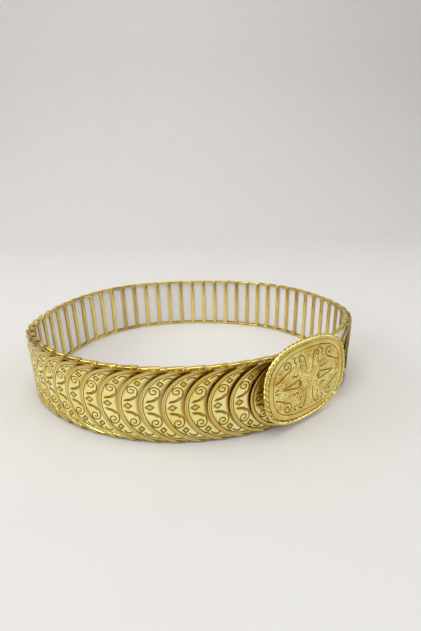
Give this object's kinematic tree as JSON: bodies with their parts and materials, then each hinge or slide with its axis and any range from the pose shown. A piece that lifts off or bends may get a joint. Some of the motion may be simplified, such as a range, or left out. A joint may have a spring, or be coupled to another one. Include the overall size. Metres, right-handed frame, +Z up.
{
  "type": "expanding belt of overlapping crescent metal plates on elastic webbing",
  "caption": "Gilt expanding belt, closed and standing on its edge: overlapping engraved crescent plates on ladder link frames over elastic webbing, with an oval rope-rimmed buckle.",
  "frame": {"origin": "middle of the belt's outline on the surface it stands on", "axes": "+Z up out of the ring, +X along the ring's long way, -Y towards the side that has the buckle on its right"},
  "size_m": [0.259, 0.2144, 0.0586],
  "materials": {
    "gilt_links": "gold-plated stamped brass, bright with a fine satin field",
    "gilt_buckle": "gold-plated cast brass, stippled field and polished raised work",
    "elastic_web": "off-white woven elastic webbing"
  },
  "bodies": {
    "root": {"link_01": "gilt_links", "link_02": "gilt_links", "link_03": "gilt_links", "link_04": "gilt_links", "link_05": "gilt_links", "link_06": "gilt_links", "link_07": "gilt_links", "link_08": "gilt_links", "link_09": "gilt_links", "link_10": "gilt_links", "link_11": "gilt_links", "link_12": "gilt_links", "link_13": "gilt_links", "link_14": "gilt_links", "link_15": "gilt_links", "link_16": "gilt_links", "link_17": "gilt_links", "link_18": "gilt_links", "link_19": "gilt_links", "link_20": "gilt_links", "link_21": "gilt_links", "link_22": "gilt_links", "link_23": "gilt_links", "link_24": "gilt_links", "link_25": "gilt_links", "link_26": "gilt_links", "link_27": "gilt_links", "link_28": "gilt_links", "link_29": "gilt_links", "link_30": "gilt_links", "link_31": "gilt_links", "link_32": "gilt_links", "link_33": "gilt_links", "link_34": "gilt_links", "link_35": "gilt_links", "link_36": "gilt_links", "link_37": "gilt_links", "link_38": "gilt_links", "link_39": "gilt_links", "link_40": "gilt_links", "link_41": "gilt_links", "link_42": "gilt_links", "link_43": "gilt_links", "link_44": "gilt_links", "link_45": "gilt_links", "link_46": "gilt_links", "link_47": "gilt_links", "link_48": "gilt_links", "link_49": "gilt_links", "link_50": "gilt_links", "link_51": "gilt_links", "link_52": "gilt_links", "link_53": "gilt_links", "link_54": "gilt_links", "elastic_band": "elastic_web", "buckle_plaque": "gilt_buckle", "buckle_rope_rim": "gilt_buckle", "buckle_hook": "gilt_buckle"}
  },
  "joints": []
}
